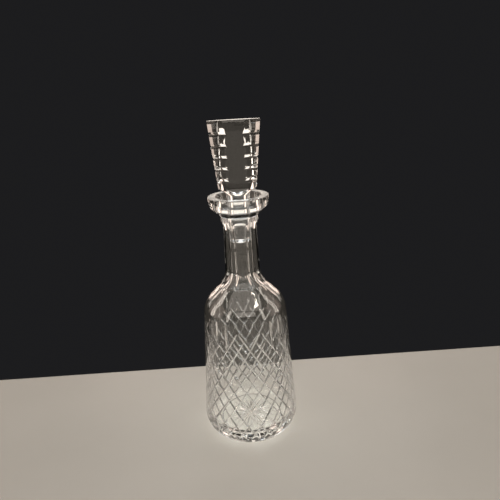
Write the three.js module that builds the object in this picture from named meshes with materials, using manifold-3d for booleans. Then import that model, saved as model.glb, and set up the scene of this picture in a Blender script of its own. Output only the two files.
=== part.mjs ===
// Cut crystal decanter: a wheel-cut glass bottle and the ground glass stopper that seats in its neck.
// Millimetres, +Z up. The origin is the middle of the foot, on the surface that the decanter stands on.
import * as THREE from 'three'
import { mergeVertices } from 'three/addons/utils/BufferGeometryUtils.js'
import Module from 'manifold-3d'

const wasm = await Module()
wasm.setup()

// ---- Driving dimensions ----

// Foot: a flat ring to stand on, round a shallow recess with a cut star.
const FOOT_RADIUS = 39.5
const FOOT_RING_WIDTH = 5.5
const FOOT_EDGE = 0.8
const RECESS_DEPTH = 1.5
const RECESS_EDGE = 1.5

// Body: the heel, the side that leans in, and the round shoulder. Radii and heights are those of
// the corners where the straight lines meet, before their fillets.
const BODY_RADIUS = 52.3
const HEEL_HEIGHT = 5.5
const HEEL_FILLET = 19.5
const SHOULDER_RADIUS = 42.2
const SHOULDER_HEIGHT = 149.3
const SHOULDER_RISE = 23.7
const SHOULDER_FILLET = 29

// Neck: it leans in up to the collar. The radii are those of the round neck, before its flutes.
const NECK_BASE_RADIUS = 19.2
const NECK_BASE_FILLET = 26
const NECK_TOP_RADIUS = 18.3
const NECK_TOP_FILLET = 4
const NECK_LENGTH = 67.5

// Collar: a small bowl on the neck. Its depths are measured down from the top of the bottle.
const COLLAR_RADIUS = 29.9
const COLLAR_UNDER_RADIUS = 28.7
const COLLAR_UNDER_DEPTH = 9.2
const COLLAR_UNDER_FILLET = 6
const COLLAR_HEIGHT = 19.5
const RIM_WIDTH = 7.6
const RIM_EDGE = 0.8
const MOUTH_RADIUS = 20.6
const MOUTH_DEPTH = 12.5
const MOUTH_FILLET = 7

// Glass thickness, and the fillets inside.
const WALL = 5
const FLOOR = 12.5
const INSIDE_HEEL_FILLET = 12
const INSIDE_SHOULDER_FILLET = 24
const INSIDE_NECK_FILLET = 20

// Ground seat for the stopper. The taper is radius per length.
const SEAT_TOP_RADIUS = 10.6
const SEAT_TOP_DEPTH = 16.5
const SEAT_LENGTH = 31.5
const SEAT_TAPER = 0.05
const SEAT_EDGE = 1.5

// Flat flutes down the neck, cut deep enough to meet in ridges, which run out on the shoulder.
const FLUTES = 8
const FLUTE_BASE_CUT = 1.6
const FLUTE_TOP_CUT = 2.4
const FLUTE_TOP_DEPTH = 23
const FLUTE_TOP_RISE = 7
const FLUTE_END_RISE = 12.2
const FLUTE_FILLET = 24

// Wedges that the rim of a V-edged wheel cuts round the shoulder, in groups of three. Low and high
// are measured down from the shoulder's corner, and depth is that of the wheel below the chord.
const WEDGE_GROUPS = 4
const WEDGE_SPACING = THREE.MathUtils.degToRad(15)
const WEDGE_TURN = THREE.MathUtils.degToRad(3)
const WEDGE_HALF_ANGLE = THREE.MathUtils.degToRad(56)
const TALL_WEDGE = { low: 32, high: -3, depth: 1.2 }
const SHORT_WEDGE = { low: 36, high: 3, depth: 1.4 }
const WHEEL_HALF_THICKNESS = 8

// Star under the foot.
const STAR_RAYS = 24
const STAR_DEPTH = 1
const STAR_HALF_WIDTH = 2
const STAR_MARGIN = 2

// Stopper head: a slab that widens upwards, with a flat panel front and back and a bevel on each
// side of it. The thickness is that between the panels.
const HEAD_HEIGHT = 68.5
const HEAD_TOP_WIDTH = 48.8
const HEAD_LEAN = 0.102
const HEAD_THICKNESS = 26
const PANEL_WIDTH = 20
const BEVEL_SLOPE = 0.6
const HEAD_CONE_SLOPE = 0.85
const HEAD_CLEARANCE = 1.5

// Notches across the bevels. Their places are measured down from the top of the head.
const NOTCHES = 5
const NOTCH_PITCH = 10.6
const FIRST_NOTCH = 12
const NOTCH_HALF_WIDTH = 2.2
const NOTCH_DEPTH = 1.3

// Plug: it keeps a running gap to the seat and ends a little above the seat's lower end.
const PLUG_GAP = 0.3
const PLUG_END_RISE = 2
const PLUG_EDGE = 2.5

// ---- Finish ----

const GLASS_COLOUR = 0xeef1ef
const POLISHED_ROUGHNESS = 0.05

// ---- Smoothness of round shapes ----

const ROUND_SEGMENTS = 48
const PLUG_SEGMENTS = 32
const WHEEL_SEGMENTS = 72
const FILLET_STEP = THREE.MathUtils.degToRad(15)
const OVERSHOOT = 5
const WELD = 1e-4

// ---- Outlines ----

function corner(radius, height, fillet = 0) {
  return { at: new THREE.Vector2(radius, height), fillet }
}

// The two unit directions out of a corner, and half of the angle between them.
function cornerShape(corners, index) {
  const { at } = corners[index]
  const back = corners[index - 1].at.clone().sub(at).normalize()
  const ahead = corners[index + 1].at.clone().sub(at).normalize()
  return { back, ahead, half: back.angleTo(ahead) / 2 }
}

// How far from each corner its fillet starts. Fillets that meet on one edge share its length.
function setbacksOf(corners) {
  const last = corners.length - 1
  const setbacks = corners.map(({ fillet }, index) => {
    const inside = fillet > 0 && index > 0 && index < last
    return inside ? fillet / Math.tan(cornerShape(corners, index).half) : 0
  })
  for (let index = 0; index < last; index++) {
    const length = corners[index].at.distanceTo(corners[index + 1].at)
    const wanted = setbacks[index] + setbacks[index + 1]
    if (wanted <= length) continue
    setbacks[index] *= length / wanted
    setbacks[index + 1] *= length / wanted
  }
  return setbacks
}

// Points along a line through corners, each rounded by its fillet.
function roundedLine(corners) {
  const setbacks = setbacksOf(corners)
  return corners.flatMap(({ at }, index) => {
    if (setbacks[index] === 0) return [at.clone()]
    const { back, ahead, half } = cornerShape(corners, index)
    const start = at.clone().addScaledVector(back, setbacks[index])
    const toCentre = back.clone().add(ahead).normalize()
    const centre = at.clone().addScaledVector(toCentre, setbacks[index] / Math.cos(half))
    const turn = (Math.PI - 2 * half) * Math.sign(ahead.cross(back))
    const steps = Math.max(2, Math.ceil(Math.abs(turn) / FILLET_STEP))
    return Array.from({ length: steps + 1 }, (_, step) =>
      start.clone().rotateAround(centre, (turn * step) / steps))
  })
}

// Where the line through a and b crosses the line through c and d.
function crossing(a, b, c, d) {
  const along = b.clone().sub(a)
  const other = d.clone().sub(c)
  const share = c.clone().sub(a).cross(other) / along.cross(other)
  return a.clone().addScaledVector(along, share)
}

// The line from a to b, moved to its left by a distance.
function inset(a, b, distance) {
  const left = b.clone().sub(a).normalize().rotateAround(new THREE.Vector2(), Math.PI / 2)
  return [a.clone().addScaledVector(left, distance), b.clone().addScaledVector(left, distance)]
}

function levelLine(height) {
  return [new THREE.Vector2(0, height), new THREE.Vector2(1, height)]
}

function uprightLine(radius) {
  return [new THREE.Vector2(radius, 0), new THREE.Vector2(radius, 1)]
}

// ---- Solids ----

function solidFrom(geometry) {
  const bare = geometry.index ? geometry.toNonIndexed() : geometry.clone()
  bare.deleteAttribute('normal')
  bare.deleteAttribute('uv')
  const merged = mergeVertices(bare, WELD)
  const indices = Array.from(merged.index.array)
  const triangles = []
  for (let first = 0; first < indices.length; first += 3) {
    const [a, b, c] = indices.slice(first, first + 3)
    if (a !== b && b !== c && c !== a) triangles.push(a, b, c)
  }
  return new wasm.Manifold(new wasm.Mesh({
    numProp: 3,
    vertProperties: new Float32Array(merged.attributes.position.array),
    triVerts: new Uint32Array(triangles),
  }))
}

function geometryFrom(solid) {
  const mesh = solid.getMesh()
  const geometry = new THREE.BufferGeometry()
  geometry.setAttribute('position', new THREE.BufferAttribute(mesh.vertProperties, 3))
  geometry.setIndex(new THREE.BufferAttribute(mesh.triVerts, 1))
  geometry.computeVertexNormals()
  return geometry
}

// A solid of revolution about +Z from points of radius and height.
function turned(points, segments) {
  return new THREE.LatheGeometry(points, segments).rotateX(Math.PI / 2)
}

// A flat outline in x and height, extruded evenly to both sides along y.
function slab(points, width) {
  const shape = new THREE.Shape(points)
  const geometry = new THREE.ExtrudeGeometry(shape, { depth: width, bevelEnabled: false })
  return geometry.translate(0, 0, -width / 2).rotateX(Math.PI / 2)
}

// Copies of a cutter's geometry, evenly spaced about +Z.
function around(geometry, count, turn = 0) {
  return Array.from({ length: count }, (_, index) =>
    solidFrom(geometry.clone().rotateZ(turn + (2 * Math.PI * index) / count)))
}

function cut(solid, cutters) {
  return cutters.reduce((rest, cutter) => rest.subtract(cutter), solid)
}

function namedMesh(name, solid) {
  const material = new THREE.MeshStandardMaterial({
    color: GLASS_COLOUR,
    roughness: POLISHED_ROUGHNESS,
    metalness: 0,
  })
  const mesh = new THREE.Mesh(geometryFrom(solid), material)
  mesh.name = name
  return mesh
}

// ---- Bottle ----

const neckBase = SHOULDER_HEIGHT + SHOULDER_RISE
const collarBottom = neckBase + NECK_LENGTH
const bottleTop = collarBottom + COLLAR_HEIGHT
const seatTop = bottleTop - SEAT_TOP_DEPTH
const seatBottom = seatTop - SEAT_LENGTH
const footInner = FOOT_RADIUS - FOOT_RING_WIDTH

const heelCorner = corner(BODY_RADIUS, HEEL_HEIGHT, HEEL_FILLET)
const shoulderCorner = corner(SHOULDER_RADIUS, SHOULDER_HEIGHT, SHOULDER_FILLET)
const neckCorner = corner(NECK_BASE_RADIUS, neckBase, NECK_BASE_FILLET)

const outside = roundedLine([
  corner(footInner, 0),
  corner(FOOT_RADIUS, 0, FOOT_EDGE),
  heelCorner,
  shoulderCorner,
  neckCorner,
  corner(NECK_TOP_RADIUS, collarBottom, NECK_TOP_FILLET),
  corner(COLLAR_UNDER_RADIUS, bottleTop - COLLAR_UNDER_DEPTH, COLLAR_UNDER_FILLET),
  corner(COLLAR_RADIUS, bottleTop, RIM_EDGE),
  corner(COLLAR_RADIUS - RIM_WIDTH / 2, bottleTop),
])

function seatRadius(height) {
  return SEAT_TOP_RADIUS + SEAT_TAPER * (height - seatTop)
}

// The hollow, from the rim down to the floor. The body's wall follows the outside's straight lines.
function insideLine() {
  const boreRadius = seatRadius(seatBottom)
  const side = inset(heelCorner.at, shoulderCorner.at, WALL)
  const slope = inset(shoulderCorner.at, neckCorner.at, WALL)
  const neckIn = crossing(...slope, ...uprightLine(boreRadius))
  const shoulderIn = crossing(...side, ...slope)
  const heelIn = crossing(...side, ...levelLine(FLOOR))
  return roundedLine([
    corner(COLLAR_RADIUS - RIM_WIDTH / 2, bottleTop),
    corner(COLLAR_RADIUS - RIM_WIDTH, bottleTop, RIM_EDGE),
    corner(MOUTH_RADIUS, bottleTop - MOUTH_DEPTH, MOUTH_FILLET),
    corner(SEAT_TOP_RADIUS, seatTop, SEAT_EDGE),
    corner(boreRadius, seatBottom),
    corner(neckIn.x, neckIn.y, INSIDE_NECK_FILLET),
    corner(shoulderIn.x, shoulderIn.y, INSIDE_SHOULDER_FILLET),
    corner(heelIn.x, heelIn.y, INSIDE_HEEL_FILLET),
    corner(0, FLOOR),
  ])
}

// A flute's cutter is flat across. Its floor follows the neck and runs out at both ends.
function fluteCutters() {
  const slope = [shoulderCorner.at, neckCorner.at]
  const end = crossing(...slope, ...levelLine(SHOULDER_HEIGHT + FLUTE_END_RISE))
  const floorCorner = corner(NECK_BASE_RADIUS - FLUTE_BASE_CUT, neckBase, FLUTE_FILLET)
  const beyond = SHOULDER_RADIUS + OVERSHOOT
  const start = crossing(end, floorCorner.at, ...uprightLine(beyond))
  const fluteTop = bottleTop - FLUTE_TOP_DEPTH
  const floor = roundedLine([
    corner(start.x, start.y),
    floorCorner,
    corner(NECK_TOP_RADIUS - FLUTE_TOP_CUT, fluteTop - FLUTE_TOP_RISE, FLUTE_FILLET),
    corner(NECK_TOP_RADIUS, fluteTop),
    corner(beyond, fluteTop + OVERSHOOT),
  ])
  return around(slab(floor, 2 * NECK_BASE_RADIUS), FLUTES)
}

function outsideRadius(height) {
  const above = outside.findIndex(point => point.y > height)
  const [a, b] = [outside[above - 1], outside[above]]
  return crossing(a, b, ...levelLine(height)).x
}

// A V-edged wheel stands upright, its rim sunk into the side between the wedge's two ends.
function wedgeWheel({ low, high, depth }) {
  const [bottom, top] = [low, high].map(drop =>
    new THREE.Vector2(outsideRadius(SHOULDER_HEIGHT - drop), SHOULDER_HEIGHT - drop))
  const halfChord = bottom.distanceTo(top) / 2
  const wheelRadius = (halfChord ** 2 + depth ** 2) / (2 * depth)
  const hubRadius = wheelRadius - WHEEL_HALF_THICKNESS / Math.tan(WEDGE_HALF_ANGLE)
  const wheel = turned([
    new THREE.Vector2(0, -WHEEL_HALF_THICKNESS),
    new THREE.Vector2(hubRadius, -WHEEL_HALF_THICKNESS),
    new THREE.Vector2(wheelRadius, 0),
    new THREE.Vector2(hubRadius, WHEEL_HALF_THICKNESS),
    new THREE.Vector2(0, WHEEL_HALF_THICKNESS),
  ], WHEEL_SEGMENTS).rotateX(Math.PI / 2)
  const [outBottom, outTop] = inset(bottom, top, depth - wheelRadius)
  const centre = outBottom.add(outTop).divideScalar(2)
  return wheel.translate(centre.x, 0, centre.y)
}

// Each group is a tall wedge between two short ones, at the diagonals of the body.
function wedgeCutters() {
  const middle = WEDGE_TURN + Math.PI / WEDGE_GROUPS
  const tall = wedgeWheel(TALL_WEDGE)
  const short = wedgeWheel(SHORT_WEDGE)
  return [
    ...around(short, WEDGE_GROUPS, middle - WEDGE_SPACING),
    ...around(tall, WEDGE_GROUPS, middle),
    ...around(short, WEDGE_GROUPS, middle + WEDGE_SPACING),
  ]
}

// The star's rays are V grooves that narrow to a point short of the foot ring.
function starCutters() {
  const length = footInner - RECESS_EDGE - STAR_MARGIN
  const ray = new THREE.ConeGeometry(STAR_HALF_WIDTH, length, 4).rotateZ(-Math.PI / 2)
  ray.scale(1, 1, STAR_DEPTH / STAR_HALF_WIDTH).translate(length / 2, 0, RECESS_DEPTH)
  return around(ray, STAR_RAYS)
}

function decanterBody() {
  const underside = [
    new THREE.Vector2(0, RECESS_DEPTH),
    new THREE.Vector2(footInner - RECESS_EDGE, RECESS_DEPTH),
  ]
  const blank = solidFrom(turned([...underside, ...outside, ...insideLine().slice(1)], ROUND_SEGMENTS))
  return cut(blank, [...fluteCutters(), ...wedgeCutters(), ...starCutters()])
}

// ---- Stopper ----

const headBase = bottleTop + HEAD_CLEARANCE
const headTop = headBase + HEAD_HEIGHT

function plugRadius(height) {
  return seatRadius(height) - PLUG_GAP
}

// The slab's front outline, cut to a cone below, so that the head narrows to the plug.
function headBlank() {
  const topHalf = HEAD_TOP_WIDTH / 2
  const lowHalf = topHalf - HEAD_LEAN * HEAD_HEIGHT
  const front = slab([
    new THREE.Vector2(-lowHalf, headBase),
    new THREE.Vector2(lowHalf, headBase),
    new THREE.Vector2(topHalf, headTop),
    new THREE.Vector2(-topHalf, headTop),
  ], HEAD_THICKNESS)
  const coneReach = topHalf + HEAD_THICKNESS
  const cone = turned([
    new THREE.Vector2(0, headBase),
    new THREE.Vector2(plugRadius(headBase), headBase),
    new THREE.Vector2(coneReach, headBase + HEAD_CONE_SLOPE * (coneReach - plugRadius(headBase))),
    new THREE.Vector2(coneReach, headTop + coneReach),
    new THREE.Vector2(0, headTop + coneReach),
  ], PLUG_SEGMENTS)
  return solidFrom(front).intersect(solidFrom(cone))
}

// One corner's cutters, in the corner between +X and +Y: the bevel, and the notches across it.
function bevelCutters() {
  const edge = new THREE.Vector2(PANEL_WIDTH / 2, HEAD_THICKNESS / 2)
  const reach = HEAD_TOP_WIDTH
  const plan = new THREE.Shape([
    edge,
    new THREE.Vector2(edge.x + reach, edge.y - BEVEL_SLOPE * reach),
    new THREE.Vector2(edge.x + reach, edge.y + reach),
    new THREE.Vector2(edge.x, edge.y + reach),
  ])
  const tall = HEAD_HEIGHT + 2 * OVERSHOOT
  const bevel = new THREE.ExtrudeGeometry(plan, { depth: tall, bevelEnabled: false })
  const groove = new THREE.Shape([
    new THREE.Vector2(-NOTCH_DEPTH, 0),
    new THREE.Vector2(OVERSHOOT, -NOTCH_HALF_WIDTH * (1 + OVERSHOOT / NOTCH_DEPTH)),
    new THREE.Vector2(OVERSHOOT, NOTCH_HALF_WIDTH * (1 + OVERSHOOT / NOTCH_DEPTH)),
  ])
  const notch = new THREE.ExtrudeGeometry(groove, { depth: 2 * reach, bevelEnabled: false })
  notch.translate(0, 0, -reach).rotateX(Math.PI / 2)
  notch.rotateZ(Math.PI / 2 - Math.atan(BEVEL_SLOPE)).translate(edge.x, edge.y, 0)
  const notches = Array.from({ length: NOTCHES }, (_, index) =>
    notch.clone().translate(0, 0, headTop - FIRST_NOTCH - index * NOTCH_PITCH))
  return [bevel.translate(0, 0, headBase - OVERSHOOT), ...notches]
}

// The same cutters at all four corners of the head.
function cornerCutters() {
  const quarter = bevelCutters().map(solidFrom)
  const right = [...quarter, ...quarter.map(solid => solid.mirror([0, 1, 0]))]
  return [...right, ...right.map(solid => solid.mirror([1, 0, 0]))]
}

function plug() {
  const end = seatBottom + PLUG_END_RISE
  const points = roundedLine([
    corner(0, end),
    corner(plugRadius(end), end, PLUG_EDGE),
    corner(plugRadius(headBase), headBase),
    corner(0, headBase + OVERSHOOT),
  ])
  return solidFrom(turned(points, PLUG_SEGMENTS))
}

function stopper() {
  return cut(headBlank(), cornerCutters()).add(plug())
}

// ---- Assembly ----

const group = new THREE.Group()
group.add(namedMesh('decanter_body', decanterBody()))
group.add(namedMesh('stopper', stopper()))

export default group
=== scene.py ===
from math import asin, cos, degrees, pi, radians, sin, sqrt, tan

import bmesh
import bpy
from mathutils import Euler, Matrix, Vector


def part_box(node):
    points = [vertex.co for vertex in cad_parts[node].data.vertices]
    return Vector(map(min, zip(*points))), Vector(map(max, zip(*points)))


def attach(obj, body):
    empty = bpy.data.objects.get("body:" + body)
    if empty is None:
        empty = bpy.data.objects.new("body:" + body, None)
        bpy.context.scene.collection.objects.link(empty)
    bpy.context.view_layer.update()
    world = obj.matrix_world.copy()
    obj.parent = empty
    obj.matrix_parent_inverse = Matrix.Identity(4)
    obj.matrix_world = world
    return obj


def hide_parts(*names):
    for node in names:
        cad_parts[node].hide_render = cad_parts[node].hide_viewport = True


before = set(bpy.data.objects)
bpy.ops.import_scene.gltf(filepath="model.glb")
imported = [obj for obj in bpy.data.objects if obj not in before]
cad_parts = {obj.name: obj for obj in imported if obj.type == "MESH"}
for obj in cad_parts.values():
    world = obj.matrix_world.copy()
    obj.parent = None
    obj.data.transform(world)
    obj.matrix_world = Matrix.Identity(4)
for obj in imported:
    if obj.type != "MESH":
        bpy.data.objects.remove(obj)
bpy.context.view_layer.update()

# Camera. It stands close in front of the decanter, level with the stopper's top, and looks down on
# it with a slight turn to the right and a slight roll. The angles are in degrees.
CAMERA_PLACE = (0.0, -0.4115, 0.3417)
CAMERA_DOWN = 18.60
CAMERA_RIGHT = 1.20
CAMERA_ROLL = -3.26
CAMERA_LENS = 30.96
CAMERA_SENSOR = 36
CAMERA_NEAREST = 0.01

bpy.ops.object.camera_add(location=CAMERA_PLACE)
camera = bpy.context.object
camera.name = "camera"
aim = Euler((radians(90 - CAMERA_DOWN), 0, radians(-CAMERA_RIGHT))).to_matrix()
camera.rotation_euler = (aim @ Euler((0, 0, radians(CAMERA_ROLL))).to_matrix()).to_euler()
camera.data.sensor_width = CAMERA_SENSOR
camera.data.lens = CAMERA_LENS
camera.data.clip_start = CAMERA_NEAREST
bpy.context.scene.camera = camera


# Bottle blank. The real one is blown clear lead glass with a thick foot, turned true and polished.
# Its outline is drawn once, from the recess under the foot, up the outside, over the rim and down
# the hollow to the floor, then spun about the bottle's axis.
FOOT_RADIUS = 0.0395
FOOT_RING_WIDTH = 0.0055
RECESS_DEPTH = 0.0015
RECESS_FILLET = 0.001
# A pair is a radius and a height from the foot.
HEEL = (0.05223, 0.0055)
HEEL_FILLET = 0.0193
SHOULDER = (0.0422, 0.1493)
SHOULDER_FILLET = 0.029
NECK_BASE = (0.0192, 0.1730)
NECK_BASE_FILLET = 0.026
NECK_TOP_RADIUS = 0.0183
NECK_TOP_FILLET = 0.004
COLLAR_HEIGHT = 0.0195
COLLAR_RADIUS = 0.0299
RIM_WIDTH = 0.0076
EDGE_FILLET = 0.0008
# From here a pair is a radius and a depth below the rim.
COLLAR_UNDER = (0.0287, 0.0092)
COLLAR_FILLET = 0.006
MOUTH = (0.0206, 0.0125)
MOUTH_FILLET = 0.007
SEAT_TOP = (0.0106, 0.0165)
SEAT_FILLET = 0.0015
SEAT_LENGTH = 0.0315
SEAT_TAPER = 0.05
WALL = 0.005
FLOOR = 0.0125
INSIDE_NECK_FILLET = 0.020
INSIDE_SHOULDER_FILLET = 0.024
INSIDE_HEEL_FILLET = 0.012
TURNS = 192
ROW = 0.004
ARC_STEP = 6
SAME_PLACE = 1e-6

bottle_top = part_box("decanter_body")[1].z


def start_wire(name, place):
    """A mesh of one vertex, left in edit mode with it selected."""
    bpy.ops.object.select_all(action="DESELECT")
    bpy.ops.mesh.primitive_plane_add()
    piece = bpy.context.object
    piece.name = name
    bpy.ops.object.mode_set(mode="EDIT")
    bpy.ops.mesh.select_mode(type="VERT")
    bpy.ops.mesh.select_all(action="SELECT")
    bpy.ops.mesh.merge(type="CENTER")
    bpy.ops.transform.translate(value=place)
    return piece


def extend_wire(points):
    """Extrudes the last vertex of a wire from point to point."""
    for here, there in zip(points, points[1:]):
        move = {"value": Vector(there) - Vector(here)}
        bpy.ops.mesh.extrude_region_move(TRANSFORM_OT_translate=move)


def choose(piece, mode, test):
    """Selects, in edit mode, the vertices, edges or faces that pass a test."""
    bpy.ops.mesh.select_mode(type=mode)
    bpy.ops.mesh.select_all(action="DESELECT")
    mesh = bmesh.from_edit_mesh(piece.data)
    parts = {"VERT": mesh.verts, "EDGE": mesh.edges, "FACE": mesh.faces}[mode]
    for part in parts:
        part.select_set(bool(test(part)))
    mesh.select_flush_mode()
    bmesh.update_edit_mesh(piece.data)


def round_corner(piece, before, corner, after, radius):
    """Bevels one corner of a wire into an arc of that radius."""
    back = (Vector(before) - Vector(corner)).normalized()
    ahead = (Vector(after) - Vector(corner)).normalized()
    turn = pi - back.angle(ahead)
    bulge = (1 / cos(turn / 2) - 1) / (2 * tan(turn / 2) * sin(turn / 2))
    choose(piece, "VERT", lambda vert: (vert.co - Vector(corner)).length < SAME_PLACE)
    bpy.ops.mesh.bevel(
        affect="VERTICES",
        offset=radius * tan(turn / 2),
        segments=max(2, round(degrees(turn) / ARC_STEP)),
        profile=(1 - bulge) ** 2,
    )


def outline(name, corners, row):
    """A wire through corners of (radius, height, fillet), with its long stretches in short rows."""
    places = [(radius, 0, height) for radius, height, _ in corners]
    piece = start_wire(name, places[0])
    extend_wire(places)
    for index in range(1, len(corners) - 1):
        fillet = corners[index][2]
        if fillet:
            round_corner(piece, *places[index - 1:index + 2], fillet)
    bpy.ops.mesh.select_mode(type="EDGE")
    lengths = {edge.calc_length() for edge in bmesh.from_edit_mesh(piece.data).edges}
    for cuts in sorted({int(length / row) for length in lengths} - {0}):
        choose(piece, "EDGE", lambda edge: int(edge.calc_length() / row) == cuts)
        bpy.ops.mesh.subdivide(number_cuts=cuts)
    return piece


def close_up(piece):
    """Merges doubles, points the faces outwards and leaves edit mode."""
    bpy.ops.mesh.select_all(action="SELECT")
    bpy.ops.mesh.remove_doubles(threshold=SAME_PLACE)
    bpy.ops.mesh.select_all(action="SELECT")
    bpy.ops.mesh.normals_make_consistent(inside=False)
    bpy.ops.object.mode_set(mode="OBJECT")
    return piece


def turned(name, corners, steps=TURNS, row=ROW):
    """A solid of revolution about the Z axis."""
    piece = outline(name, corners, row)
    bpy.ops.mesh.select_all(action="SELECT")
    bpy.ops.mesh.spin(steps=steps, angle=2 * pi, center=(0, 0, 0), axis=(0, 0, 1))
    return close_up(piece)


def seat_radius(height):
    """The radius of the tapered seat at a height."""
    return SEAT_TOP[0] + SEAT_TAPER * (height - seat_top)


def meet(a, b, c, d):
    """Where the line through a and b crosses the line through c and d."""
    (ax, ay), (bx, by), (cx, cy), (dx, dy) = a, b, c, d
    gap = (cx - ax) * (dy - cy) - (cy - ay) * (dx - cx)
    share = gap / ((bx - ax) * (dy - cy) - (by - ay) * (dx - cx))
    return ax + share * (bx - ax), ay + share * (by - ay)


def moved_in(a, b, distance):
    """The line from a to b on the outside, moved into the glass."""
    run, rise = b[0] - a[0], b[1] - a[1]
    length = sqrt(run * run + rise * rise)
    shift = (-rise / length * distance, run / length * distance)
    return (a[0] + shift[0], a[1] + shift[1]), (b[0] + shift[0], b[1] + shift[1])


seat_top = bottle_top - SEAT_TOP[1]
seat_bottom = seat_top - SEAT_LENGTH
bore = seat_radius(seat_bottom)
side_in = moved_in(HEEL, SHOULDER, WALL)
slope_in = moved_in(SHOULDER, NECK_BASE, WALL)
outside_corners = [
    (0, RECESS_DEPTH, 0),
    (FOOT_RADIUS - FOOT_RING_WIDTH - RECESS_DEPTH, RECESS_DEPTH, RECESS_FILLET),
    (FOOT_RADIUS - FOOT_RING_WIDTH, 0, 0),
    (FOOT_RADIUS, 0, EDGE_FILLET),
    (*HEEL, HEEL_FILLET),
    (*SHOULDER, SHOULDER_FILLET),
    (*NECK_BASE, NECK_BASE_FILLET),
    (NECK_TOP_RADIUS, bottle_top - COLLAR_HEIGHT, NECK_TOP_FILLET),
    (COLLAR_UNDER[0], bottle_top - COLLAR_UNDER[1], COLLAR_FILLET),
    (COLLAR_RADIUS, bottle_top, EDGE_FILLET),
]
inside_corners = [
    (COLLAR_RADIUS - RIM_WIDTH, bottle_top, EDGE_FILLET),
    (MOUTH[0], bottle_top - MOUTH[1], MOUTH_FILLET),
    (SEAT_TOP[0], seat_top, SEAT_FILLET),
    (bore, seat_bottom, 0),
    (*meet(*slope_in, (bore, 0), (bore, 1)), INSIDE_NECK_FILLET),
    (*meet(*side_in, *slope_in), INSIDE_SHOULDER_FILLET),
    (*meet(*side_in, (0, FLOOR), (1, FLOOR)), INSIDE_HEEL_FILLET),
    (0, FLOOR, 0),
]
bottle = turned("cut_bottle", outside_corners + inside_corners)

# The cuts. Each is ground in by a wheel and lightly polished: flutes down the neck that run out on the
# shoulder, wedges in threes round the upper body, a diamond lattice below and between them, and a
# star under the foot. Their cutters are solids, joined first and then taken out of the blank.
FLUTES = 8
FLUTE_BASE_CUT = 0.0016
FLUTE_TOP_CUT = 0.0024
FLUTE_TOP_DROP = 0.023
FLUTE_TOP_RISE = 0.007
FLUTE_END = 0.1615
FLUTE_FILLET = 0.024
FLUTE_OUTLET_RISE = 0.006
FLUTE_OUTLET_FILLET = 0.003
FLUTE_CLEAR = 0.004
MOTIFS = 4
COLUMNS = 24
PATTERN_TURN = radians(3)
LATTICE_ROW = 0.019
LATTICE_TOP = 0.133
LATTICE_FOOT = 0.011
TALL_STARTS = (-1, 1)
SHORT_STARTS = (0.5, 2.5, 3.5, 4.5)
GROOVE_DEPTH = 0.0013
GROOVE_HALF_ANGLE = radians(48)
GROOVE_FADE = 0.006
GROOVE_START = 0.00013
GROOVE_STEP = 0.002
WEDGE_HALF_ANGLE = radians(56)
# Each wedge's lower end, upper end and depth.
TALL_WEDGE = (0.1173, 0.1523, 0.0012)
SHORT_WEDGE = (0.1133, 0.1463, 0.0014)
WEDGE_STEPS = 20
WEDGE_SWEEP = 1.2
STAR_RAYS = 24
STAR_DEPTH = 0.001
STAR_HALF_WIDTH = 0.002
STAR_RADIUS = 0.0305
CLEAR = 0.0012
COLUMN = 2 * pi / COLUMNS
BOTTLE_SMOOTH = radians(14)


def carve(piece, tool, operation="DIFFERENCE"):
    """Cuts a piece by a tool, or joins or crosses the two, and removes the tool."""
    bpy.ops.object.select_all(action="DESELECT")
    bpy.context.view_layer.objects.active = piece
    piece.select_set(True)
    bpy.ops.object.modifier_add(type="BOOLEAN")
    boolean = piece.modifiers[-1]
    boolean.object = tool
    boolean.operation = operation
    boolean.solver = "MANIFOLD"
    bpy.ops.object.modifier_apply(modifier=boolean.name)
    bpy.data.objects.remove(tool)
    return piece


def turned_copy(piece, angle, mirrored=False):
    """A copy turned about the Z axis, and first mirrored from right to left if asked."""
    bpy.ops.object.select_all(action="DESELECT")
    bpy.context.view_layer.objects.active = piece
    piece.select_set(True)
    bpy.ops.object.duplicate()
    twin = bpy.context.object
    if mirrored:
        bpy.ops.object.mode_set(mode="EDIT")
        bpy.ops.mesh.select_all(action="SELECT")
        bpy.ops.transform.resize(value=(-1, 1, 1), center_override=(0, 0, 0))
        close_up(twin)
    twin.rotation_euler.z = angle
    bpy.ops.object.transform_apply(location=False, rotation=True, scale=False)
    return twin


def around(piece, angles, mirrored=False):
    """Copies of a tool about the Z axis, in place of the tool."""
    twins = [turned_copy(piece, angle, mirrored) for angle in angles]
    bpy.data.objects.remove(piece)
    return twins


def gathered(tools):
    """Joins overlapping tools into one solid."""
    whole = tools[0]
    for tool in tools[1:]:
        carve(whole, tool, "UNION")
    return whole


def solid_slab(piece, width):
    """Fills a wire that lies in the XZ plane and thickens it evenly to both sides."""
    bpy.ops.mesh.select_all(action="SELECT")
    bpy.ops.mesh.edge_face_add()
    bpy.ops.transform.translate(value=(0, -width / 2, 0))
    bpy.ops.mesh.extrude_region_move(TRANSFORM_OT_translate={"value": (0, width, 0)})
    return close_up(piece)


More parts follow.
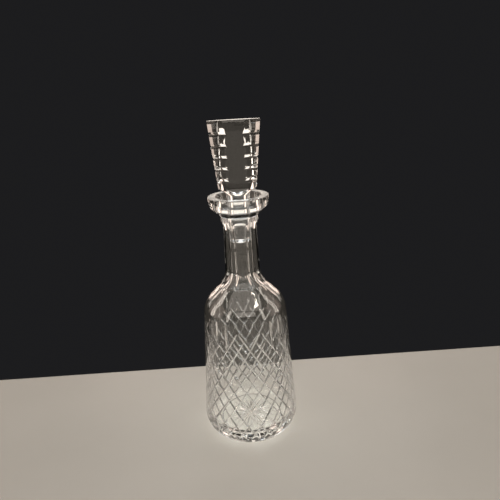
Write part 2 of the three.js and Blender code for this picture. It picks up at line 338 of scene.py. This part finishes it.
# Flutes: the cutter is a slab whose edge is the flute's floor. One flute faces the front, -Y.
flute_end = meet(SHOULDER, NECK_BASE, (0, FLUTE_END), (1, FLUTE_END))
flute_base = (NECK_BASE[0] - FLUTE_BASE_CUT, NECK_BASE[1])
flute_top = bottle_top - FLUTE_TOP_DROP
beyond = SHOULDER[0] + FLUTE_CLEAR
flute = outline("flute", [
    (*meet(flute_end, flute_base, (beyond, 0), (beyond, 1)), 0),
    (*flute_base, FLUTE_FILLET),
    (NECK_TOP_RADIUS - FLUTE_TOP_CUT, flute_top - FLUTE_TOP_RISE, FLUTE_FILLET),
    (NECK_TOP_RADIUS, flute_top, FLUTE_OUTLET_FILLET),
    (beyond, flute_top + FLUTE_OUTLET_RISE, 0),
], ROW)
solid_slab(flute, 2 * NECK_BASE[0])
flutes = around(flute, [index * 2 * pi / FLUTES for index in range(FLUTES)])
carve(bottle, gathered(flutes))


def side_radius(height):
    """The body's radius on its straight side."""
    return HEEL[0] + (SHOULDER[0] - HEEL[0]) * (height - HEEL[1]) / (SHOULDER[1] - HEEL[1])


def groove(name, top):
    """A V cutter that winds down the side, from a point at the top to the heel."""
    def deepest(height):
        sunk = min(1, (top - height) / GROOVE_FADE)
        return side_radius(height) - GROOVE_DEPTH * sunk + GROOVE_START * (1 - sunk)

    outer = side_radius(top) + CLEAR
    half = (outer - deepest(top)) * tan(GROOVE_HALF_ANGLE)
    piece = start_wire(name, (0, -deepest(top), top))
    extend_wire([(0, -deepest(top), top), (half, -outer, top), (-half, -outer, top)])
    bpy.ops.mesh.select_all(action="SELECT")
    bpy.ops.mesh.edge_face_add()
    steps = round((top - LATTICE_FOOT) / GROOVE_STEP)
    drop = (top - LATTICE_FOOT) / steps
    for step in range(steps):
        high = top - step * drop
        grow = deepest(high - drop) / deepest(high)
        bpy.ops.mesh.extrude_region_move(TRANSFORM_OT_translate={"value": (0, 0, -drop)})
        bpy.ops.transform.resize(value=(grow, grow, 1), center_override=(0, 0, 0))
        bpy.ops.transform.rotate(
            value=-COLUMN * drop / LATTICE_ROW,
            orient_axis="Z",
            center_override=(0, 0, 0),
        )
    return close_up(piece)


# Lattice: each line winds one column round for each row down, half of the lines one way and half
# the other. Most start half a row lower than the two that make each motif's peaks.
lattice = []
for top, starts in ((LATTICE_TOP, TALL_STARTS), (LATTICE_TOP - LATTICE_ROW / 2, SHORT_STARTS)):
    for way in (1, -1):
        angles = [
            PATTERN_TURN + way * start * COLUMN + motif * 2 * pi / MOTIFS
            for start in starts
            for motif in range(MOTIFS)
        ]
        lattice += around(groove("groove", top), angles, mirrored=way < 0)


def wedge(name, low, high, depth):
    """The rim of a V-edged wheel, sunk into the side between two heights."""
    low_end, high_end = (Vector((0, -side_radius(height), height)) for height in (low, high))
    half_chord = (high_end - low_end).length / 2
    wheel = (half_chord ** 2 + depth ** 2) / (2 * depth)
    outward = Vector((0, low_end.z - high_end.z, high_end.y - low_end.y)).normalized()
    hub = (low_end + high_end) / 2 + outward * (wheel - depth)
    band = depth + 2 * CLEAR
    half = band * tan(WEDGE_HALF_ANGLE)
    sweep = WEDGE_SWEEP * 2 * asin(half_chord / wheel)
    along = (high_end - low_end).normalized()
    spoke = -outward * cos(sweep / 2) - along * sin(sweep / 2)
    rim = hub + spoke * wheel
    back = hub + spoke * (wheel - band)
    side = Vector((half, 0, 0))
    piece = start_wire(name, rim)
    extend_wire([rim, back + side, back - side])
    bpy.ops.mesh.select_all(action="SELECT")
    bpy.ops.mesh.edge_face_add()
    bpy.ops.mesh.spin(steps=WEDGE_STEPS, angle=-sweep, center=hub, axis=(1, 0, 0))
    return close_up(piece)


# Wedges: a tall one between two short ones at each diagonal, with the lattice's peaks between.
middles = [PATTERN_TURN + (motif + 0.5) * 2 * pi / MOTIFS for motif in range(MOTIFS)]
wedges = around(wedge("tall_wedge", *TALL_WEDGE), middles)
beside = [middle + side * COLUMN for middle in middles for side in (-1, 1)]
wedges += around(wedge("short_wedge", *SHORT_WEDGE), beside)
carve(bottle, gathered(lattice + wedges))

# Star: each ray is a V that narrows to a point short of the foot's ring.
bpy.ops.object.select_all(action="DESELECT")
bpy.ops.mesh.primitive_cone_add(
    vertices=4,
    radius1=STAR_HALF_WIDTH,
    depth=STAR_RADIUS,
    rotation=(0, pi / 2, 0),
)
ray = bpy.context.object
bpy.ops.object.transform_apply(location=False, rotation=True, scale=False)
bpy.ops.object.mode_set(mode="EDIT")
bpy.ops.mesh.select_all(action="SELECT")
bpy.ops.transform.resize(value=(1, 1, STAR_DEPTH / STAR_HALF_WIDTH), center_override=(0, 0, 0))
bpy.ops.transform.translate(value=(STAR_RADIUS / 2, 0, RECESS_DEPTH))
close_up(ray)
carve(bottle, gathered(around(ray, [index * 2 * pi / STAR_RAYS for index in range(STAR_RAYS)])))

bpy.ops.object.select_all(action="DESELECT")
bpy.context.view_layer.objects.active = bottle
bottle.select_set(True)
bpy.ops.object.shade_smooth_by_angle(angle=BOTTLE_SMOOTH)


class Wire:
    """An output in a material. Sums on wires and numbers add Math nodes to it."""

    def __init__(self, tree, output=None):
        self.tree = tree
        self.output = output

    def node(self, kind, settings, inputs, output=0):
        """Adds a node, sets it, then fills its inputs with values or wires."""
        made = self.tree.nodes.new("ShaderNode" + kind)
        for name, value in settings.items():
            setattr(made, name, value)
        for name, value in inputs.items():
            if isinstance(value, Wire):
                self.tree.links.new(value.output, made.inputs[name])
            else:
                made.inputs[name].default_value = value
        return Wire(self.tree, made.outputs[output] if made.outputs else None)

    def sum(self, operation, first, second):
        return self.node("Math", {"operation": operation}, {0: first, 1: second})

    def __add__(self, other):
        return self.sum("ADD", self, other)

    __radd__ = __add__

    def __sub__(self, other):
        return self.sum("SUBTRACT", self, other)

    def __rsub__(self, other):
        return self.sum("SUBTRACT", other, self)

    def __mul__(self, other):
        return self.sum("MULTIPLY", self, other)

    __rmul__ = __mul__

    def above(self, limit, soft):
        """1 where the value is over a limit and 0 where it is under, with a soft step."""
        return self.node("MapRange", {"interpolation_type": "SMOOTHSTEP"}, {
            "Value": self, "From Min": limit - soft, "From Max": limit + soft,
        })

    def between(self, low, high, soft):
        """1 where the value lies between two limits, with soft ends, and 0 elsewhere."""
        return self.above(low, soft) * (1 - self.above(high, soft))


# Crystal: clear lead glass. The skin is polished and very slightly wavy, the cuts and the rim are
# left a little softer, the socket is ground to a fine frost, and the foot's ring is scuffed where
# the bottle has stood.
CRYSTAL_IOR = 1.545
CRYSTAL_TINT = (0.985, 0.992, 0.990, 1)
FROST_TINT = (0.93, 0.94, 0.94, 1)
SHADOW_TINT = (0.93, 0.94, 0.94, 1)
POLISH = 0.004
SMEAR_ROUGHNESS = 0.02
SMEARS_PER_METRE = 60
SMEAR_LEVEL = 0.52
SMEAR_SOFT = 0.08
FROST_ROUGHNESS = 0.04
FROST_VARIES = 0.12
FROST_HEIGHT = 0.00001
FROST_END_SOFT = 0.0004
FROST_SIDE_SOFT = 0.0001
GRAINS_PER_METRE = 4000
CUT_ROUGHNESS = 0.10
CUT_VARIES = 0.1
SCUFF_ROUGHNESS = 0.3
SCUFF_INNER = 0.030
SCUFF_INNER_SOFT = 0.001
SCUFF_HEIGHT = 0.0008
SCUFF_HEIGHT_SOFT = 0.0005
WAVES_PER_METRE = 1 / 0.011
WAVE_HEIGHT = 0.00002
SHALLOWEST_CUT = 0.0001
DEEPEST_CUT = 0.0026
CUT_SOFT = 0.00005
CUTS_LOW = 0.021
CUTS_HIGH = 0.153
CUTS_END_SOFT = 0.0005
ROUNDING_SOFT = 0.0001
RIM_DEPTH = 0.0004
RIM_SOFT = 0.0002
SEAT_REACH = 0.0115


def crystal(name, ground_low, ground_high, ground_radius, cut_zone):
    """A crystal whose ground zone lies inside a radius, between two heights, with matt cuts."""
    material = bpy.data.materials.new(name)
    material.use_nodes = True
    tree = material.node_tree
    tree.nodes.clear()
    start = Wire(tree)
    place = start.node("TexCoord", {}, {}, "Object")
    x = place.node("SeparateXYZ", {}, {0: place}, 0)
    y = place.node("SeparateXYZ", {}, {0: place}, 1)
    z = place.node("SeparateXYZ", {}, {0: place}, 2)
    radius = place.node("Math", {"operation": "SQRT"}, {0: x * x + y * y})
    outside = radius.above(ground_radius, FROST_SIDE_SOFT)
    ground = (1 - outside) * z.between(ground_low, ground_high, FROST_END_SOFT)
    grain = place.node("TexNoise", {}, {"Vector": place, "Scale": GRAINS_PER_METRE, "Detail": 2})
    waves = place.node("TexNoise", {}, {"Vector": place, "Scale": WAVES_PER_METRE, "Detail": 1})
    smears = place.node("TexNoise", {}, {"Vector": place, "Scale": SMEARS_PER_METRE, "Detail": 3})
    raised = z.above(SCUFF_HEIGHT, SCUFF_HEIGHT_SOFT)
    scuffed = (1 - raised) * radius.above(SCUFF_INNER, SCUFF_INNER_SOFT)
    rough = POLISH + SMEAR_ROUGHNESS * smears.above(SMEAR_LEVEL, SMEAR_SOFT)
    rough = rough + ground * (FROST_ROUGHNESS + FROST_VARIES * grain)
    rough = rough + scuffed * grain * SCUFF_ROUGHNESS
    rough = rough + cut_zone(radius, z) * (CUT_ROUGHNESS + CUT_VARIES * grain)
    colour = place.node("Mix", {"data_type": "RGBA"}, {0: ground, 6: CRYSTAL_TINT, 7: FROST_TINT}, 2)
    relief = waves * WAVE_HEIGHT + ground * grain * FROST_HEIGHT
    bump = place.node("Bump", {}, {"Height": relief, "Distance": 1.0, "Strength": 1.0})
    glass = place.node("BsdfPrincipled", {}, {
        "Base Color": colour,
        "Roughness": rough,
        "IOR": CRYSTAL_IOR,
        "Transmission Weight": 1.0,
        "Normal": bump,
    })
    clear = place.node("BsdfTransparent", {}, {"Color": SHADOW_TINT})
    shadow = place.node("LightPath", {}, {}, "Is Shadow Ray")
    mixed = place.node("MixShader", {}, {0: shadow, 1: glass, 2: clear})
    place.node("OutputMaterial", {}, {"Surface": mixed})
    return material


def bottle_cuts(radius, z):
    """The walls of the cuts below the neck, which lie deeper than the blank's skin, and the rim."""
    lean = (SHOULDER[0] - HEEL[0]) / (SHOULDER[1] - HEEL[1])
    line = lean * z + (HEEL[0] - lean * HEEL[1])
    side = moved_in(HEEL, SHOULDER, SHOULDER_FILLET)
    slope = moved_in(SHOULDER, NECK_BASE, SHOULDER_FILLET)
    middle = meet(*side, *slope)
    rise = z - middle[1]
    arc = z.node("Math", {"operation": "SQRT"}, {0: SHOULDER_FILLET ** 2 - rise * rise})
    round_part = z.above(middle[1] - lean * SHOULDER_FILLET, ROUNDING_SOFT)
    skin = line + round_part * (arc + middle[0] - line)
    walls = (skin - radius).between(SHALLOWEST_CUT, DEEPEST_CUT, CUT_SOFT)
    cut_rows = z.between(CUTS_LOW, CUTS_HIGH, CUTS_END_SOFT)
    return walls * cut_rows + z.above(bottle_top - RIM_DEPTH, RIM_SOFT)


bottle.data.materials.clear()
bottle_crystal = crystal("bottle_crystal", seat_bottom, seat_top, SEAT_REACH, bottle_cuts)
bottle.data.materials.append(bottle_crystal)
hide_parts("decanter_body")
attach(bottle, "bottle")


# Stopper. A solid piece of the same crystal: a tapered head with a flat panel front and back, a
# bevel on each side of each panel with notches across it, and a plug ground to fit the neck.
HEAD_CLEARANCE = 0.0015
HEAD_TOP_WIDTH = 0.0488
HEAD_LEAN = 0.102
HEAD_THICKNESS = 0.026
PANEL_WIDTH = 0.020
BEVEL_SLOPE = 0.6
HEAD_CONE_SLOPE = 0.85
NOTCHES = 5
NOTCH_PITCH = 0.0106
FIRST_NOTCH = 0.012
NOTCH_HALF_WIDTH = 0.0022
NOTCH_DEPTH = 0.0013
NOTCH_CLEAR = 0.4
PLUG_GAP = 0.0003
PLUG_END_RISE = 0.002
PLUG_EDGE = 0.0025
PLUG_OVERLAP = 0.0004
PLUG_REACH = 0.0125
ARRIS = 0.00025
ARRIS_ANGLE = radians(14)
STOPPER_SMOOTH = radians(25)
PLUG_TURNS = 96
# A row longer than any edge.
UNDIVIDED = 1

head_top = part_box("stopper")[1].z
head_base = bottle_top + HEAD_CLEARANCE
head_height = head_top - head_base
plug_end = seat_bottom + PLUG_END_RISE


def plug_radius(height):
    """The plug's radius, a running gap smaller than the seat's."""
    return seat_radius(height) - PLUG_GAP


# The slab, narrower below, then its four bevels sliced off.
bpy.ops.object.select_all(action="DESELECT")
bpy.ops.mesh.primitive_cube_add(size=1)
stopper = bpy.context.object
stopper.name = "crystal_stopper"
bpy.ops.object.mode_set(mode="EDIT")
bpy.ops.mesh.select_all(action="SELECT")
bpy.ops.transform.resize(value=(HEAD_TOP_WIDTH, HEAD_THICKNESS, head_height))
bpy.ops.transform.translate(value=(0, 0, (head_top + head_base) / 2))
choose(stopper, "VERT", lambda vert: vert.co.z < head_top - head_height / 2)
narrowed = 1 - 2 * HEAD_LEAN * head_height / HEAD_TOP_WIDTH
bpy.ops.transform.resize(value=(narrowed, 1, 1), center_override=(0, 0, 0))
for right in (-1, 1):
    for front in (-1, 1):
        bpy.ops.mesh.select_all(action="SELECT")
        bpy.ops.mesh.bisect(
            plane_co=(right * PANEL_WIDTH / 2, front * HEAD_THICKNESS / 2, 0),
            plane_no=(right * BEVEL_SLOPE, front, 0),
            use_fill=True,
            clear_outer=True,
        )
close_up(stopper)

# Notches: a V cutter lies along a bevel. One is made for the back right corner and copied.
bevel_away = Vector((BEVEL_SLOPE, 1, 0)).normalized()
bevel_edge = Vector((PANEL_WIDTH / 2, HEAD_THICKNESS / 2, 0))
bevel_along = Vector((1, -BEVEL_SLOPE, 0)).normalized()
reach = HEAD_TOP_WIDTH / 2
for index in range(NOTCHES):
    height = Vector((0, 0, head_top - FIRST_NOTCH - index * NOTCH_PITCH))
    floor_point = bevel_edge + height - bevel_away * NOTCH_DEPTH - bevel_along * reach
    proud = bevel_away * NOTCH_DEPTH * (1 + NOTCH_CLEAR)
    spread = Vector((0, 0, NOTCH_HALF_WIDTH * (1 + NOTCH_CLEAR)))
    notch = start_wire("notch", floor_point)
    extend_wire([floor_point, floor_point + proud + spread, floor_point + proud - spread])
    bpy.ops.mesh.select_all(action="SELECT")
    bpy.ops.mesh.edge_face_add()
    bpy.ops.mesh.extrude_region_move(TRANSFORM_OT_translate={"value": bevel_along * 3 * reach})
    close_up(notch)
    for half_turn in (0, pi):
        for mirrored in (False, True):
            carve(stopper, turned_copy(notch, half_turn, mirrored))
    bpy.data.objects.remove(notch)

# The head narrows below in a cone, down to the plug.
cone_reach = HEAD_TOP_WIDTH / 2 + HEAD_THICKNESS
cone = turned("head_cone", [
    (0, head_base, 0),
    (plug_radius(head_base), head_base, 0),
    (cone_reach, head_base + HEAD_CONE_SLOPE * (cone_reach - plug_radius(head_base)), 0),
    (cone_reach, head_top + cone_reach, 0),
    (0, head_top + cone_reach, 0),
], PLUG_TURNS, UNDIVIDED)
carve(stopper, cone, "INTERSECT")
plug = turned("plug", [
    (0, plug_end, 0),
    (plug_radius(plug_end), plug_end, PLUG_EDGE),
    (plug_radius(head_base), head_base, 0),
    (plug_radius(head_base) - PLUG_OVERLAP, head_base + PLUG_OVERLAP, 0),
    (0, head_base + PLUG_OVERLAP, 0),
], PLUG_TURNS)
carve(stopper, plug, "UNION")
bpy.ops.object.mode_set(mode="EDIT")
close_up(stopper)
bpy.ops.object.modifier_add(type="BEVEL")
arris = stopper.modifiers[-1]
arris.width = ARRIS
arris.segments = 2
arris.limit_method = "ANGLE"
arris.angle_limit = ARRIS_ANGLE
arris.use_clamp_overlap = True
bpy.ops.object.modifier_apply(modifier=arris.name)
bpy.ops.object.shade_smooth_by_angle(angle=STOPPER_SMOOTH)


def no_cuts(radius, z):
    """The stopper's notches are polished as bright as its faces."""
    return 0


stopper.data.materials.clear()
stopper_crystal = crystal("stopper_crystal", plug_end, bottle_top, PLUG_REACH, no_cuts)
stopper.data.materials.append(stopper_crystal)
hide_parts("stopper")
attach(stopper, "stopper")


# Table top. A plain pale board for the decanter to stand on, sawn from sheet with its edges eased
# and painted. It is part of the stage, not of the object.
BOARD_WIDTH = 1.1
BOARD_DEPTH = 0.85
BOARD_THICKNESS = 0.018
BOARD_BACK_EDGE = 0.11
BOARD_EASING = 0.002
BOARD_DARK = (0.37, 0.345, 0.31, 1)
BOARD_LIGHT = (0.41, 0.385, 0.35, 1)
BOARD_ROUGHNESS = 0.45
CLOUDS_PER_METRE = 9

bpy.ops.object.select_all(action="DESELECT")
bpy.ops.mesh.primitive_cube_add(size=1)
table = bpy.context.object
table.name = "table_top"
bpy.ops.object.mode_set(mode="EDIT")
bpy.ops.mesh.select_all(action="SELECT")
bpy.ops.transform.resize(
    value=(BOARD_WIDTH, BOARD_DEPTH, BOARD_THICKNESS),
    center_override=(0, 0, 0),
)
bpy.ops.transform.translate(value=(0, BOARD_BACK_EDGE - BOARD_DEPTH / 2, -BOARD_THICKNESS / 2))
bpy.ops.mesh.bevel(offset=BOARD_EASING, segments=3)
close_up(table)
board = bpy.data.materials.new("pale_board")
board.use_nodes = True
board.node_tree.nodes.clear()
start = Wire(board.node_tree)
place = start.node("TexCoord", {}, {}, "Object")
clouds = place.node("TexNoise", {}, {"Vector": place, "Scale": CLOUDS_PER_METRE, "Detail": 4})
colour = place.node("Mix", {"data_type": "RGBA"}, {0: clouds, 6: BOARD_DARK, 7: BOARD_LIGHT}, 2)
paint = place.node("BsdfPrincipled", {}, {"Base Color": colour, "Roughness": BOARD_ROUGHNESS})
place.node("OutputMaterial", {}, {"Surface": paint})
table.data.materials.append(board)


# Studio light. A dark room with soft boxes and strips all round, since cut crystal shows nothing but
# what stands about it. The room glows a little more in the glass than behind it. The box called
# haze_box is seen only as a reflection, as a pale ceiling is, and lights nothing else.
BACKDROP = (0.012, 0.012, 0.013, 1)
ROOM_GLOW = (0.034, 0.030, 0.025, 1)
WARM = (1.0, 0.90, 0.80)
COOL = (0.93, 0.98, 1.0)
ROSE = (1.0, 0.80, 0.68)
LIGHTS_AIM = (0, 0, 0.16)

room = bpy.context.scene.world or bpy.data.worlds.new("room")
bpy.context.scene.world = room
room.use_nodes = True
background = room.node_tree.nodes["Background"]
start = Wire(room.node_tree)
straight = start.node("LightPath", {}, {}, "Is Camera Ray")
tone = start.node("Mix", {"data_type": "RGBA"}, {0: straight, 6: ROOM_GLOW, 7: BACKDROP}, 2)
room.node_tree.links.new(tone.output, background.inputs["Color"])

# Each light's name, tone, width, height, place and watts.
for name, tone, width, height, place, watts in (
    ("ceiling_box", COOL, 0.9, 0.5, (0.0, 0.0, 1.3), 3),
    ("key_box", WARM, 0.20, 0.07, (0.48, -0.42, 1.0), 1.2),
    ("left_back_box", WARM, 0.22, 0.9, (-0.78, 0.77, 0.45), 0.30),
    ("right_back_box", WARM, 0.18, 0.9, (0.74, 0.80, 0.45), 0.24),
    ("left_box", ROSE, 1.1, 0.9, (-1.1, 0.10, 0.45), 2.2),
    ("right_box", ROSE, 1.1, 0.9, (1.1, 0.10, 0.45), 1.8),
    ("left_edge_strip", ROSE, 0.16, 1.0, (-0.42, 0.90, 0.45), 1.0),
    ("right_edge_strip", ROSE, 0.16, 1.0, (0.42, 0.90, 0.45), 1.0),
    ("left_strip", WARM, 0.10, 0.9, (-0.90, 0.22, 0.45), 1.6),
    ("right_strip", WARM, 0.08, 0.9, (0.90, 0.12, 0.45), 1.2),
    ("left_front_strip", WARM, 0.14, 0.9, (-0.85, -0.70, 0.5), 2.0),
    ("right_front_strip", WARM, 0.10, 0.9, (0.85, -0.70, 0.5), 1.4),
    ("back_box", COOL, 1.4, 0.3, (0.0, 0.9, 1.05), 2.6),
    ("rim_box", WARM, 0.6, 0.36, (0.0, 0.9, 0.44), 0.9),
    ("haze_box", WARM, 2.0, 1.2, (0.0, -0.40, 1.3), 15.0),
    ("front_low_box", WARM, 1.8, 0.5, (0.0, -1.3, 0.10), 0.9),
    ("front_high_box", WARM, 1.4, 0.5, (0.0, -1.2, 0.90), 3.5),
    ("left_lamp", COOL, 0.06, 0.06, (-0.5, 0.25, 0.9), 0.7),
    ("middle_lamp", COOL, 0.06, 0.06, (0.05, 0.5, 1.0), 0.7),
    ("right_lamp", COOL, 0.06, 0.06, (0.55, 0.1, 0.8), 0.7),
):
    bpy.ops.object.light_add(type="AREA", location=place)
    lamp = bpy.context.object
    lamp.name = name
    lamp.data.shape = "RECTANGLE"
    lamp.data.size = width
    lamp.data.size_y = height
    lamp.data.energy = watts
    lamp.data.color = tone
    lamp.rotation_euler = (Vector(LIGHTS_AIM) - lamp.location).to_track_quat("-Z", "Y").to_euler()
    lamp.visible_camera = False
    lamp.visible_transmission = name != "haze_box"
    lamp.visible_diffuse = name != "haze_box"

bpy.context.scene.view_settings.view_transform = "Standard"
